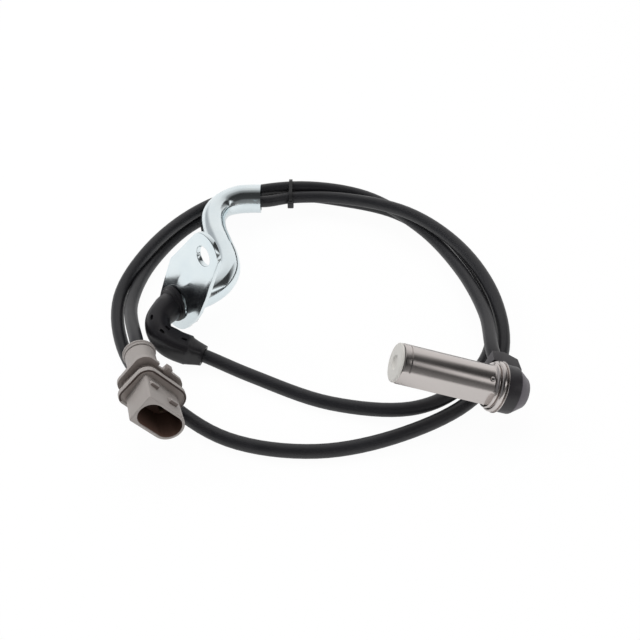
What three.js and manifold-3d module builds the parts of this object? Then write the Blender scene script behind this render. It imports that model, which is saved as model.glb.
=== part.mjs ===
import * as THREE from "three";
import ManifoldModule from "manifold-3d";

// Wheel speed sensor with its coiled lead, guide bracket and two-way connector.
// Millimetres, +Z up, the floor at z = 0.

// Lead
const CABLE_DIA = 6.0;
const CABLE_SIDES = 10;
const STEPS_PER_POINT = 2;
const CLEARANCE = 0.3;
const PLATE_POINT = 30;
const ELBOW_END_POINT = 36;
const ROUTE = [
  [67.9, -52.1, 15.4],
  [66.6, -43.6, 15.7],
  [67.2, -14.9, 11.3],
  [59.5, 19.6, 8.7],
  [43.6, 51.1, 8.0],
  [18.6, 74.2, 9.3],
  [-13.2, 81.6, 10.9],
  [-44.1, 78.7, 9.8],
  [-64.3, 61.5, 9.3],
  [-83.7, 32.1, 9.2],
  [-93.9, 2.2, 5.2],
  [-86.7, -31.9, 3.2],
  [-67.5, -58.1, 3.1],
  [-39.9, -79.9, 3.1],
  [-5.3, -85.9, 3.1],
  [28.8, -77.0, 3.1],
  [58.2, -58.1, 3.3],
  [72.3, -36.4, 6.6],
  [73.0, -5.6, 10.7],
  [60.7, 27.4, 13.7],
  [38.0, 54.3, 13.9],
  [7.1, 70.9, 10.4],
  [-17.7, 74.3, 8.5],
  [-31.4, 69.0, 9.9],
  [-44.9, 66.7, 12.2],
  [-53.4, 59.3, 12.5],
  [-54.6, 45.1, 12.5],
  [-46.7, 18.9, 12.5],
  [-47.9, 4.9, 12.5],
  [-55.6, -4.0, 12.5],
  [-66.3, -9.2, 12.5],
  [-70.1, -15.1, 13.3],
  [-73.0, -21.4, 12.7],
  [-71.5, -27.8, 10.9],
  [-66.2, -31.5, 8.6],
  [-59.6, -33.4, 6.7],
  [-53.1, -34.4, 4.5],
  [-32.7, -45.3, 3.5],
  [0.3, -60.6, 3.1],
  [32.3, -65.1, 4.8],
  [51.1, -56.4, 5.9],
  [68.7, -29.0, 3.4],
  [70.0, 7.0, 3.1],
  [57.1, 41.0, 3.1],
  [34.2, 68.1, 3.1],
  [5.4, 79.3, 3.2],
  [-18.4, 80.7, 4.8],
  [-39.6, 76.1, 3.3],
  [-65.3, 60.2, 3.1],
  [-82.2, 31.5, 3.1],
  [-87.3, -4.1, 7.5],
  [-79.9, -37.1, 16.0],
  [-77.1, -45.6, 17.0],
  [-74.2, -54.5, 17.9],
];

// Sensor: its own +X runs from the rolled collar to the tip, +Y faces the viewer
const SENSOR_AT = [64.97, -64.16, 16.54];
const SENSOR_HEADING = 181.5;
const SENSOR_PITCH = 19.75;
const PROBE_DIA = 16.0;
const PROBE_BORE = 12.2;
const PROBE_RIM_X = 41.6;
const TIP_FACE_X = 43.0;
const FLAT_DEPTH = 1.15;
const FLAT_ROLL = -10;
const FLAT_START_X = 4.0;
const COLLAR_DIA = 20.4;
const COLLAR_REAR_X = -2.1;
const LIP_DIA = 21.0;
const LIP_REAR_X = -2.6;
const HEAD_DIA = 19.2;
const HEAD_BAND_REAR_X = -8.5;
const HEAD_BACK_X = -12.2;
const HEAD_BACK_DIA = 12.6;
const SPIGOT_END_X = 9.0;
const BOSS_THICK = 11.0;
const BOSS_CHAMFER = 1.0;
const BOSS_REACH = 15.3;
const OUTLET_TILT = 7.5;
const OUTLET_X = -2.4;
const CORE_PIN_DIA = 3.0;
const MAGNET_DIA = 7.0;
const TERMINAL_DIA = 0.8;
const TERMINAL_OFFSET = 4.4;

// Guide bracket
const TUBE_DIA = 12.0;
const TUBE_BORE = 9.6;
const TUBE_MOUTH_DIA = 13.9;
const TUBE_MOUTH_BORE = 11.5;
const TUBE_ROUTE = [
  [-33.0, 67.7, 12.5],
  [-38.5, 67.7, 12.5],
  [-44.3, 66.8, 12.5],
  [-51.3, 62.3, 12.5],
  [-54.9, 53.5, 12.5],
  [-54.1, 42.3, 12.5],
  [-50.5, 30.9, 12.5],
  [-46.9, 19.8, 12.5],
  [-46.1, 11.2, 12.5],
  [-48.9, 2.9, 12.5],
  [-55.4, -3.9, 12.5],
  [-67.6, -9.9, 12.5],
];
const PLATE_AT = [-66.27, -9.22, 12.5];
const PLATE_HEADING = 221.9;
const PLATE_RISE = 9.6;
const PLATE_THICK = 2.2;
const PLATE_FOOT_RADIUS = 12.3;
const PLATE_HEAD_RADIUS = 9.3;
const PLATE_HEAD_AT = [17.0, 34.2];
const BOLT_HOLE_AT = [16.9, 33.4];
const BOLT_HOLE_DIA = 8.7;

// Elbow over the lead, against the plate
const ELBOW_DIA = 11.0;
const ELBOW_COLLAR_DIA = 15.0;
const ELBOW_COLLAR_LENGTH = 3.0;
const ELBOW_TIP_DIA = 8.4;

// Tie round the three strands
const TIE_X = -18.6;
const TIE_WIDTH = 2.6;
const TIE_THICK = 0.9;

// Connector: its own +Z leaves through the mouth, +X is the mouth's long way
const CONNECTOR_AT = [-63.77, -86.76, 21.17];
const CONNECTOR_HEADING = -72;
const CONNECTOR_RISE = 5.5;
const CONNECTOR_ROLL = -52.7;
const BODY_LEFT = -11.0;
const BODY_RIGHT = 10.9;
const BODY_HALF_HEIGHT = 6.4;
const MOUTH_HALF_LENGTH = 9.9;
const MOUTH_HALF_HEIGHT = 5.2;
const MOUTH_DEPTH = 14.5;
const FLANGE_FRONT_Z = -13.3;
const FLANGE_THICK = 2.0;
const REAR_BLOCK_FRONT_Z = -17.4;
const REAR_BLOCK_THICK = 3.6;
const LATCH_NUB_X = -0.7;
const LATCH_NUB_WIDTH = 2.6;
const LATCH_NOTCH_WIDTH = 2.6;
const LATCH_NOTCH_DEPTH = 1.6;
const NECK_DIA = 12.2;
const NECK_END_Z = -41.0;
const SEAL_BORE = 10.2;
const SEAL_LENGTH = 8.0;
const RETAINER_DIA = 13.7;
const RETAINER_END_Z = -43.5;
const CONTACT_DIA = 1.6;
const CONTACT_SPACING = 6.0;

const wasm = await ManifoldModule();
wasm.setup();
const { Manifold, Mesh: SolidMesh } = wasm;

const group = new THREE.Group();
group.name = "abs_wheel_speed_sensor";

function signedVolume(geometry) {
  const p = geometry.getAttribute("position");
  const index = geometry.getIndex();
  const a = new THREE.Vector3();
  const b = new THREE.Vector3();
  const c = new THREE.Vector3();
  let total = 0;
  for (let i = 0; i < index.count; i += 3) {
    a.fromBufferAttribute(p, index.getX(i));
    b.fromBufferAttribute(p, index.getX(i + 1));
    c.fromBufferAttribute(p, index.getX(i + 2));
    total += a.dot(b.cross(c)) / 6;
  }
  return total;
}

function closedSolid(positions, triangles) {
  const geometry = new THREE.BufferGeometry();
  geometry.setAttribute("position", new THREE.Float32BufferAttribute(positions, 3));
  geometry.setIndex(triangles);
  if (signedVolume(geometry) < 0) {
    for (let i = 0; i < triangles.length; i += 3) {
      const kept = triangles[i];
      triangles[i] = triangles[i + 1];
      triangles[i + 1] = kept;
    }
    geometry.setIndex(triangles);
  }
  return geometry;
}

// Turns a closed outline of [along, radius] points round the X axis
function turned(outline, sides) {
  const positions = [];
  const rings = [];
  for (const [along, radius] of outline) {
    const count = radius < 0.001 ? 1 : sides;
    rings.push({ first: positions.length / 3, count });
    for (let k = 0; k < count; k += 1) {
      const turn = (2 * Math.PI * k) / sides;
      positions.push(along, radius * Math.cos(turn), radius * Math.sin(turn));
    }
  }
  const triangles = [];
  rings.forEach((ring, i) => {
    const next = rings[(i + 1) % rings.length];
    for (let k = 0; k < sides; k += 1) {
      const a0 = ring.first + (ring.count === 1 ? 0 : k);
      const a1 = ring.first + (ring.count === 1 ? 0 : (k + 1) % sides);
      const b0 = next.first + (next.count === 1 ? 0 : k);
      const b1 = next.first + (next.count === 1 ? 0 : (k + 1) % sides);
      if (ring.count > 1) triangles.push(a0, a1, b0);
      if (next.count > 1) triangles.push(a1, b1, b0);
    }
  });
  return closedSolid(positions, triangles);
}

// A round bar, or a pipe where bores are given, along a list of centres
function pipe(centres, radii, bores, sides) {
  const positions = [];
  const layers = bores ? 2 : 1;
  let side = null;
  centres.forEach((centre, i) => {
    const before = centres[Math.max(0, i - 1)];
    const after = centres[Math.min(centres.length - 1, i + 1)];
    const along = after.clone().sub(before).normalize();
    if (!side) side = new THREE.Vector3(0, 0, 1);
    side.addScaledVector(along, -side.dot(along)).normalize();
    const other = along.clone().cross(side);
    for (let layer = 0; layer < layers; layer += 1) {
      const radius = layer === 0 ? radii[i] : bores[i];
      for (let k = 0; k < sides; k += 1) {
        const turn = (2 * Math.PI * k) / sides;
        const point = centre.clone();
        point.addScaledVector(side, radius * Math.cos(turn));
        point.addScaledVector(other, radius * Math.sin(turn));
        positions.push(point.x, point.y, point.z);
      }
    }
  });
  const triangles = [];
  const quad = (a, b, c, d) => triangles.push(a, b, c, a, c, d);
  const row = sides * layers;
  const last = (centres.length - 1) * row;
  for (let k = 0; k < sides; k += 1) {
    const n = (k + 1) % sides;
    for (let i = 0; i < centres.length - 1; i += 1) {
      const a = i * row;
      const b = a + row;
      quad(a + k, a + n, b + n, b + k);
      if (bores) quad(a + sides + n, a + sides + k, b + sides + k, b + sides + n);
    }
    if (bores) {
      quad(n, k, sides + k, sides + n);
      quad(last + k, last + n, last + sides + n, last + sides + k);
    }
  }
  if (!bores) {
    for (let k = 1; k < sides - 1; k += 1) {
      triangles.push(0, k + 1, k);
      triangles.push(last, last + k, last + k + 1);
    }
  }
  return closedSolid(positions, triangles);
}

function extruded(shape, depth, startZ, arcSteps) {
  const geometry = new THREE.ExtrudeGeometry(shape, {
    depth,
    bevelEnabled: false,
    curveSegments: arcSteps,
  });
  return geometry.translate(0, 0, startZ);
}

function toSolid(geometry) {
  const p = geometry.getAttribute("position");
  const index = geometry.getIndex();
  const kept = [];
  const place = [];
  for (let i = 0; i < p.count; i += 1) {
    const x = p.getX(i);
    const y = p.getY(i);
    const z = p.getZ(i);
    let j = 0;
    while (j < kept.length) {
      const near = Math.abs(kept[j] - x) + Math.abs(kept[j + 1] - y) + Math.abs(kept[j + 2] - z);
      if (near < 0.0005) break;
      j += 3;
    }
    if (j === kept.length) kept.push(x, y, z);
    place.push(j / 3);
  }
  const triangles = [];
  const count = index ? index.count : p.count;
  for (let i = 0; i < count; i += 3) {
    const corners = [0, 1, 2].map((k) => place[index ? index.getX(i + k) : i + k]);
    if (new Set(corners).size === 3) triangles.push(...corners);
  }
  return new Manifold(new SolidMesh({
    numProp: 3,
    vertProperties: new Float32Array(kept),
    triVerts: new Uint32Array(triangles),
  }));
}

function toGeometry(solid) {
  const mesh = solid.getMesh();
  const geometry = new THREE.BufferGeometry();
  geometry.setAttribute("position", new THREE.Float32BufferAttribute(mesh.vertProperties, 3));
  geometry.setIndex(Array.from(mesh.triVerts));
  return geometry;
}

// A frame whose +Z looks along a heading and rise, with +X level before the roll
function facing(at, heading, rise, roll) {
  const turn = THREE.MathUtils.degToRad(heading);
  const lift = THREE.MathUtils.degToRad(rise);
  const spin = THREE.MathUtils.degToRad(roll);
  const forward = new THREE.Vector3(
    Math.cos(lift) * Math.cos(turn),
    Math.cos(lift) * Math.sin(turn),
    Math.sin(lift),
  );
  const level = new THREE.Vector3(-forward.y, forward.x, 0).normalize();
  const upright = forward.clone().cross(level);
  const x = level.clone().multiplyScalar(Math.cos(spin)).addScaledVector(upright, Math.sin(spin));
  const y = upright.clone().multiplyScalar(Math.cos(spin)).addScaledVector(level, -Math.sin(spin));
  return new THREE.Matrix4().makeBasis(x, y, forward).setPosition(...at);
}

function addPart(name, geometry, color, roughness, metalness) {
  const material = new THREE.MeshStandardMaterial({ color, roughness, metalness });
  const mesh = new THREE.Mesh(geometry, material);
  mesh.name = name;
  group.add(mesh);
  return mesh;
}

function vector(list) {
  return new THREE.Vector3(list[0], list[1], list[2]);
}

// Lead: the steps follow the listed points, closer together in the bends
class CableRoute extends THREE.CatmullRomCurve3 {
  getUtoTmapping(u) {
    return u;
  }
}
const route = new CableRoute(ROUTE.map(vector), false, "centripetal");
const lastPoint = ROUTE.length - 1;
const cableSteps = STEPS_PER_POINT * lastPoint;

function routeCentre(point) {
  return route.getPoint(point / lastPoint);
}

const cableCorners = [];
for (let k = 0; k < CABLE_SIDES; k += 1) {
  const turn = (2 * Math.PI * k) / CABLE_SIDES;
  cableCorners.push(new THREE.Vector2(Math.cos(turn), Math.sin(turn)).multiplyScalar(CABLE_DIA / 2));
}
const cableSection = new THREE.Shape(cableCorners);
const cableGeometry = new THREE.ExtrudeGeometry(cableSection, {
  steps: cableSteps,
  extrudePath: route,
  bevelEnabled: false,
});
addPart("cable", cableGeometry, 0x26272a, 0.55, 0.0);

// Sensor
const sensorFrame = new THREE.Matrix4()
  .makeRotationZ(THREE.MathUtils.degToRad(SENSOR_HEADING))
  .multiply(new THREE.Matrix4().makeRotationY(-THREE.MathUtils.degToRad(SENSOR_PITCH)))
  .setPosition(...SENSOR_AT);

const probeR = PROBE_DIA / 2;
const boreR = PROBE_BORE / 2;
const collarR = COLLAR_DIA / 2;
const lipR = LIP_DIA / 2;

const shellOutline = [
  [LIP_REAR_X, boreR],
  [LIP_REAR_X, lipR - 0.15],
  [LIP_REAR_X + 0.12, lipR],
  [COLLAR_REAR_X - 0.1, lipR],
  [COLLAR_REAR_X, collarR - 0.6],
  [-1.6, collarR - 0.15],
  [-0.9, collarR],
  [0.7, collarR],
  [1.4, collarR - 0.35],
  [1.75, 9.0],
  [1.95, 8.6],
  [2.1, 8.6],
  [2.3, 9.1],
  [2.9, 9.2],
  [3.3, 8.9],
  [3.6, probeR],
  [38.4, probeR],
  [38.5, probeR - 0.35],
  [38.9, probeR - 0.35],
  [39.0, probeR],
  [PROBE_RIM_X - 0.5, probeR],
  [PROBE_RIM_X - 0.15, probeR - 0.15],
  [PROBE_RIM_X, probeR - 0.5],
  [PROBE_RIM_X, boreR],
];
let shell = toSolid(turned(shellOutline, 48));
const flatCut = new THREE.BoxGeometry(60, 6, 30)
  .translate(FLAT_START_X + 30, probeR - FLAT_DEPTH + 3, 0)
  .rotateX(THREE.MathUtils.degToRad(FLAT_ROLL));
shell = shell.subtract(toSolid(flatCut));
const dimpleCut = new THREE.SphereGeometry(1.25, 20, 12)
  .translate(5.3, probeR + 0.55, 0)
  .rotateX(THREE.MathUtils.degToRad(60));
shell = shell.subtract(toSolid(dimpleCut));
addPart("probe_shell", toGeometry(shell).applyMatrix4(sensorFrame), 0xaea59c, 0.28, 1.0);

const capSpigotR = boreR - 0.25;
const capR = probeR - 0.2;
const capOutline = [
  [36.0, 0],
  [36.0, capSpigotR],
  [PROBE_RIM_X + 0.25, capSpigotR],
  [PROBE_RIM_X + 0.25, capR],
  [TIP_FACE_X - 0.6, capR],
  [TIP_FACE_X - 0.18, capR - 0.25],
  [TIP_FACE_X, capR - 0.8],
  [TIP_FACE_X, 1.5],
  [TIP_FACE_X - 0.45, 1.3],
  [TIP_FACE_X - 0.45, 0],
];
addPart("tip_cap", turned(capOutline, 40).applyMatrix4(sensorFrame), 0xb9b7a8, 0.5, 0.0);

const headR = HEAD_DIA / 2;
const spigotR = boreR - 0.25;
const headOutline = [
  [HEAD_BACK_X, 0],
  [HEAD_BACK_X, HEAD_BACK_DIA / 2 - 0.5],
  [HEAD_BACK_X + 0.35, HEAD_BACK_DIA / 2],
  [HEAD_BAND_REAR_X - 0.1, headR - 0.2],
  [HEAD_BAND_REAR_X + 0.2, headR],
  [LIP_REAR_X - 0.35, headR],
  [LIP_REAR_X - 0.25, headR - 0.1],
  [LIP_REAR_X - 0.25, spigotR],
  [2.0, spigotR],
  [2.0, 4.5],
  [4.2, 4.5],
  [4.2, spigotR],
  [SPIGOT_END_X, spigotR],
  [SPIGOT_END_X, 0],
];
let head = toSolid(turned(headOutline, 36));
const bossOutline = [
  [-9.0, 0],
  [-10.2, 7.5],
  [-9.5, 13.0],
  [-4.0, BOSS_REACH],
  [1.6, BOSS_REACH - 0.8],
  [1.6, 11.0],
  [-2.95, 11.0],
  [-2.95, 0],
];
const bossShape = new THREE.Shape(bossOutline.map(([x, r]) => new THREE.Vector2(x, -r)));
let boss = toSolid(extruded(bossShape, BOSS_THICK, -BOSS_THICK / 2, 4));
for (const level of [1, -1]) {
  const tilt = THREE.MathUtils.degToRad(45);
  const chamferCut = new THREE.BoxGeometry(60, 8, 8)
    .rotateX(tilt)
    .translate(0, -BOSS_REACH, level * (BOSS_THICK / 2 + 8 * Math.SQRT1_2 - BOSS_CHAMFER));
  boss = boss.subtract(toSolid(chamferCut));
}
head = head.add(boss);
const outletBore = new THREE.CylinderGeometry(CABLE_DIA / 2 + CLEARANCE, CABLE_DIA / 2 + CLEARANCE, 10, 24)
  .translate(0, -16.8, 0)
  .rotateZ(THREE.MathUtils.degToRad(OUTLET_TILT))
  .translate(OUTLET_X - Math.tan(THREE.MathUtils.degToRad(OUTLET_TILT)) * 20, 0, 0);
head = head.subtract(toSolid(outletBore));
for (const level of [1, -1]) {
  const slot = new THREE.CylinderGeometry(0.65, 0.65, 4.5, 16)
    .rotateZ(Math.PI / 2)
    .translate(7.25, 0, level * TERMINAL_OFFSET);
  head = head.subtract(toSolid(slot));
}
addPart("head_moulding", toGeometry(head).applyMatrix4(sensorFrame), 0x202022, 0.5, 0.0);

const pinR = CORE_PIN_DIA / 2;
const poleOutline = [
  [18.0, 0],
  [18.0, pinR],
  [35.3, pinR],
  [35.7, pinR - 0.4],
  [35.7, 0],
];
addPart("pole_pin", turned(poleOutline, 24).applyMatrix4(sensorFrame), 0x8b8d90, 0.4, 1.0);

const bobbinOutline = [
  [18.3, pinR + 0.3],
  [18.3, 5.7],
  [19.5, 5.7],
  [19.5, 2.5],
  [33.9, 2.5],
  [33.9, 5.7],
  [35.1, 5.7],
  [35.1, pinR + 0.3],
];
addPart("coil_bobbin", turned(bobbinOutline, 24).applyMatrix4(sensorFrame), 0xd8cfb4, 0.55, 0.0);

const windingOutline = [
  [19.75, 2.75],
  [19.75, 5.2],
  [33.65, 5.2],
  [33.65, 2.75],
];
addPart("coil_winding", turned(windingOutline, 24).applyMatrix4(sensorFrame), 0xb0622e, 0.35, 1.0);

const magnetOutline = [
  [9.3, 0],
  [9.3, MAGNET_DIA / 2 - 0.3],
  [9.6, MAGNET_DIA / 2],
  [17.4, MAGNET_DIA / 2],
  [17.7, MAGNET_DIA / 2 - 0.3],
  [17.7, 0],
];
addPart("magnet", turned(magnetOutline, 24).applyMatrix4(sensorFrame), 0x6f7276, 0.35, 1.0);

[1, -1].forEach((level, i) => {
  const terminal = new THREE.CylinderGeometry(TERMINAL_DIA / 2, TERMINAL_DIA / 2, 12.4, 12)
    .rotateZ(Math.PI / 2)
    .translate(11.7, 0, level * TERMINAL_OFFSET)
    .applyMatrix4(sensorFrame);
  addPart(`terminal_pin_${i + 1}`, terminal, 0xc2a35a, 0.35, 1.0);
});

const sealOutline = [];
for (let k = 0; k < 8; k += 1) {
  const turn = (2 * Math.PI * k) / 8;
  sealOutline.push([3.1 + 0.6 * Math.cos(turn), 5.35 + 0.6 * Math.sin(turn)]);
}
addPart("seal_ring", turned(sealOutline, 24).applyMatrix4(sensorFrame), 0x1a1a1a, 0.7, 0.0);

// Guide bracket: the line of its bent tube, with a flared mouth
const tubeCurve = new THREE.CatmullRomCurve3(TUBE_ROUTE.map(vector), false, "centripetal");
const tubeLength = tubeCurve.getLength();
const tubeStations = [0, 1.2, 3.0, 5.0];
const tubePieces = 24;
for (let k = 1; k <= tubePieces; k += 1) {
  tubeStations.push(5 + ((tubeLength - 5) * k) / tubePieces);
}
const flare = (s) => Math.max(0, 1 - s / 5) ** 1.5;
const tubeCentres = tubeStations.map((s) => tubeCurve.getPointAt(s / tubeLength));
const tubeRadii = tubeStations.map((s) => TUBE_DIA / 2 + (TUBE_MOUTH_DIA - TUBE_DIA) / 2 * flare(s));
const tubeBores = tubeStations.map((s) => TUBE_BORE / 2 + (TUBE_MOUTH_BORE - TUBE_BORE) / 2 * flare(s));

// Guide bracket: the lug plate
const plateFrame = facing(PLATE_AT, PLATE_HEADING, PLATE_RISE, 0);
const plateNormal = new THREE.Vector3().setFromMatrixColumn(plateFrame, 2);
const plateOffset = plateNormal.dot(vector(PLATE_AT));

const plateShape = new THREE.Shape();
plateShape.moveTo(-8.6, 7.4);
plateShape.lineTo(-5.2, 19.2);
plateShape.quadraticCurveTo(-4.6, 21.2, -3.0, 22.8);
plateShape.lineTo(10.2, 40.5);
plateShape.absarc(PLATE_HEAD_AT[0], PLATE_HEAD_AT[1], PLATE_HEAD_RADIUS, 2.4, 0.02, true);
plateShape.lineTo(24.0, 27.0);
plateShape.lineTo(21.2, 16.3);
plateShape.lineTo(16.9, 4.0);
plateShape.lineTo(13.6, -2.4);
plateShape.absarc(-0.3, -0.1, PLATE_FOOT_RADIUS, -0.5, -2.78, true);
const boltHole = new THREE.Path();
boltHole.absarc(BOLT_HOLE_AT[0], BOLT_HOLE_AT[1], BOLT_HOLE_DIA / 2, 0, 2 * Math.PI, false);
plateShape.holes.push(boltHole);
let plate = toSolid(extruded(plateShape, PLATE_THICK, -PLATE_THICK / 2, 14).applyMatrix4(plateFrame));

const tubeEnd = vector(TUBE_ROUTE[TUBE_ROUTE.length - 1]);
const tubeBefore = vector(TUBE_ROUTE[TUBE_ROUTE.length - 2]);
const tubeAlong = tubeEnd.clone().sub(tubeBefore).normalize();
const tubeThrough = (radiusA, radiusB, from, to) => toSolid(pipe(
  [
    vector(PLATE_AT).addScaledVector(tubeAlong, from),
    vector(PLATE_AT).addScaledVector(tubeAlong, to),
  ],
  [radiusA, radiusB],
  null,
  24,
));
const plateBack = plateOffset - PLATE_THICK / 2;
const flip = (v) => [-v.x, -v.y, -v.z];
const plain = (v) => [v.x, v.y, v.z];
let weld = tubeThrough(TUBE_DIA / 2 + 0.35, TUBE_DIA / 2 + 2.0, -5.6, -0.6);
const tubeRoom = tubeRadii.map((radius) => radius + 0.22);
weld = weld.subtract(toSolid(pipe(tubeCentres, tubeRoom, null, 24)));
weld = weld.trimByPlane(flip(plateNormal), -(plateBack + 0.3));
plate = plate.add(weld);
plate = plate.subtract(tubeThrough(TUBE_BORE / 2, TUBE_BORE / 2, -6, 6));
addPart("bracket_plate", toGeometry(plate), 0xc9d3d8, 0.25, 1.0);

// Guide bracket: the bent tube, cut off parallel to the plate
let tube = toSolid(pipe(tubeCentres, tubeRadii, tubeBores, 24));
tube = tube.trimByPlane(flip(plateNormal), -(plateBack - 0.25));
addPart("bracket_tube", toGeometry(tube), 0xc9d3d8, 0.22, 1.0);

// Elbow over the lead
const elbowCentres = [];
const elbowRadii = [];
const elbowBores = [];
const elbowRadius = (p) => {
  if (p <= 31) return 6.2;
  if (p < 32) return 5.7;
  if (p <= 35) return ELBOW_DIA / 2;
  return ELBOW_TIP_DIA / 2;
};
for (let p = PLATE_POINT; p <= ELBOW_END_POINT; p += 0.5) {
  elbowCentres.push(routeCentre(p));
  elbowRadii.push(elbowRadius(p));
  elbowBores.push(CABLE_DIA / 2 + CLEARANCE);
}
let elbow = toSolid(pipe(elbowCentres, elbowRadii, null, 24));
const plateFront = plateOffset + PLATE_THICK / 2;
const collar = new THREE.CylinderGeometry(ELBOW_COLLAR_DIA / 2 - 0.6, ELBOW_COLLAR_DIA / 2, ELBOW_COLLAR_LENGTH, 40)
  .rotateX(Math.PI / 2)
  .translate(0, 0, PLATE_THICK / 2 + 0.25 + ELBOW_COLLAR_LENGTH / 2)
  .applyMatrix4(plateFrame);
elbow = elbow.add(toSolid(collar));
elbow = elbow.trimByPlane(plain(plateNormal), plateFront + 0.25);
const boreCentres = [routeCentre(PLATE_POINT - 0.5), ...elbowCentres, routeCentre(ELBOW_END_POINT + 0.5)];
const boreRadii = boreCentres.map(() => CABLE_DIA / 2 + CLEARANCE + 0.05);
elbow = elbow.subtract(toSolid(pipe(boreCentres, boreRadii, null, 16)));
addPart("elbow_sleeve", toGeometry(elbow), 0x1e1f21, 0.5, 0.0);

// Tie round the three strands
const strands = [];
for (let k = 0; k < cableSteps; k += 1) {
  const a = route.getPoint(k / cableSteps);
  const b = route.getPoint((k + 1) / cableSteps);
  if (a.y > 60 && (a.x - TIE_X) * (b.x - TIE_X) <= 0) {
    const share = (TIE_X - a.x) / (b.x - a.x);
    strands.push(a.clone().lerp(b, share));
  }
}
const strandHull = (radius, halfWidth) => {
  const points = [];
  for (const strand of strands) {
    for (let k = 0; k < 24; k += 1) {
      const turn = (2 * Math.PI * k) / 24;
      const y = strand.y + radius * Math.cos(turn);
      const z = strand.z + radius * Math.sin(turn);
      points.push([TIE_X - halfWidth, y, z], [TIE_X + halfWidth, y, z]);
    }
  }
  return Manifold.hull(points);
};
const tieInner = CABLE_DIA / 2 + 0.75;
const lowNear = strands.reduce((a, b) => (a.y < b.y ? a : b));
let tie = strandHull(tieInner + TIE_THICK, TIE_WIDTH / 2);
const tieHead = new THREE.BoxGeometry(TIE_WIDTH + 1.6, 3.6, 4.2)
  .translate(TIE_X, lowNear.y - tieInner - 0.9, lowNear.z - 1.2);
tie = tie.add(toSolid(tieHead));
tie = tie.subtract(strandHull(tieInner, TIE_WIDTH));
addPart("cable_tie", toGeometry(tie), 0x1d1d1e, 0.5, 0.0);

// Connector
const connectorFrame = facing(CONNECTOR_AT, CONNECTOR_HEADING, CONNECTOR_RISE, CONNECTOR_ROLL);

function roundedBox(left, right, bottom, top, radius) {
  const shape = new THREE.Shape();
  shape.absarc(right - radius, top - radius, radius, 0, Math.PI / 2, false);
  shape.absarc(left + radius, top - radius, radius, Math.PI / 2, Math.PI, false);
  shape.absarc(left + radius, bottom + radius, radius, Math.PI, 1.5 * Math.PI, false);
  shape.absarc(right - radius, bottom + radius, radius, 1.5 * Math.PI, 2 * Math.PI, false);
  return shape;
}

function slotShape(halfLength, halfHeight) {
  const shape = new THREE.Shape();
  const middle = halfLength - halfHeight;
  shape.absarc(middle, 0, halfHeight, -Math.PI / 2, Math.PI / 2, false);
  shape.absarc(-middle, 0, halfHeight, Math.PI / 2, 1.5 * Math.PI, false);
  return shape;
}

const bodyShape = new THREE.Shape();
bodyShape.absarc(BODY_RIGHT - BODY_HALF_HEIGHT, 0, BODY_HALF_HEIGHT, -Math.PI / 2, Math.PI / 2, false);
bodyShape.lineTo(BODY_LEFT + 0.8, BODY_HALF_HEIGHT);
bodyShape.absarc(BODY_LEFT + 0.8, BODY_HALF_HEIGHT - 0.8, 0.8, Math.PI / 2, Math.PI, false);
bodyShape.absarc(BODY_LEFT + 0.8, 0.8 - BODY_HALF_HEIGHT, 0.8, Math.PI, 1.5 * Math.PI, false);
const flangeBack = FLANGE_FRONT_Z - FLANGE_THICK;
const rearBlockBack = REAR_BLOCK_FRONT_Z - REAR_BLOCK_THICK;
let housing = toSolid(extruded(bodyShape, 0 - FLANGE_FRONT_Z + 0.2, FLANGE_FRONT_Z - 0.2, 12));
const flangeShape = roundedBox(-13.4, 12.3, -8.7, 10.5, 5.0);
housing = housing.add(toSolid(extruded(flangeShape, FLANGE_THICK, flangeBack, 8)));
const waistShape = roundedBox(-10.6, 10.0, -6.6, 7.9, 3.5);
housing = housing.add(toSolid(extruded(waistShape, flangeBack - REAR_BLOCK_FRONT_Z + 1, REAR_BLOCK_FRONT_Z - 0.5, 8)));
const rearBlockTop = 10.9;
const rearBlockShape = roundedBox(-13.6, 12.4, -8.6, rearBlockTop, 5.0);
housing = housing.add(toSolid(extruded(rearBlockShape, REAR_BLOCK_THICK, rearBlockBack, 8)));
const latchNotch = new THREE.BoxGeometry(LATCH_NOTCH_WIDTH, 2 * LATCH_NOTCH_DEPTH, REAR_BLOCK_THICK + 1)
  .translate(LATCH_NUB_X - (LATCH_NUB_WIDTH + LATCH_NOTCH_WIDTH) / 2, rearBlockTop, rearBlockBack + REAR_BLOCK_THICK / 2);
housing = housing.subtract(toSolid(latchNotch));
const latchNub = new THREE.BoxGeometry(LATCH_NUB_WIDTH, 2.4, REAR_BLOCK_THICK - 0.6)
  .translate(LATCH_NUB_X, rearBlockTop - 0.4, rearBlockBack + REAR_BLOCK_THICK / 2);
housing = housing.add(toSolid(latchNub));
const neckOutline = [
  [NECK_END_Z, 0],
  [NECK_END_Z, NECK_DIA / 2],
  [rearBlockBack - 1.5, NECK_DIA / 2],
  [rearBlockBack + 0.2, NECK_DIA / 2 + 1.6],
  [rearBlockBack + 1.0, 0],
];
housing = housing.add(toSolid(turned(neckOutline, 32).rotateY(-Math.PI / 2)));
housing = housing.subtract(toSolid(extruded(slotShape(MOUTH_HALF_LENGTH, MOUTH_HALF_HEIGHT), 30, -MOUTH_DEPTH, 12)));
const sealBoreOutline = [
  [NECK_END_Z - 1, 0],
  [NECK_END_Z - 1, SEAL_BORE / 2],
  [NECK_END_Z + SEAL_LENGTH + 0.8, SEAL_BORE / 2],
  [NECK_END_Z + SEAL_LENGTH + 0.8, 0],
];
housing = housing.subtract(toSolid(turned(sealBoreOutline, 24).rotateY(-Math.PI / 2)));
for (const side of [1, -1]) {
  const pinBore = new THREE.CylinderGeometry(CONTACT_DIA / 2 + 0.25, CONTACT_DIA / 2 + 0.25, 14, 16)
    .rotateX(Math.PI / 2)
    .translate((side * CONTACT_SPACING) / 2, 0, -MOUTH_DEPTH - 6);
  housing = housing.subtract(toSolid(pinBore));
}
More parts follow.
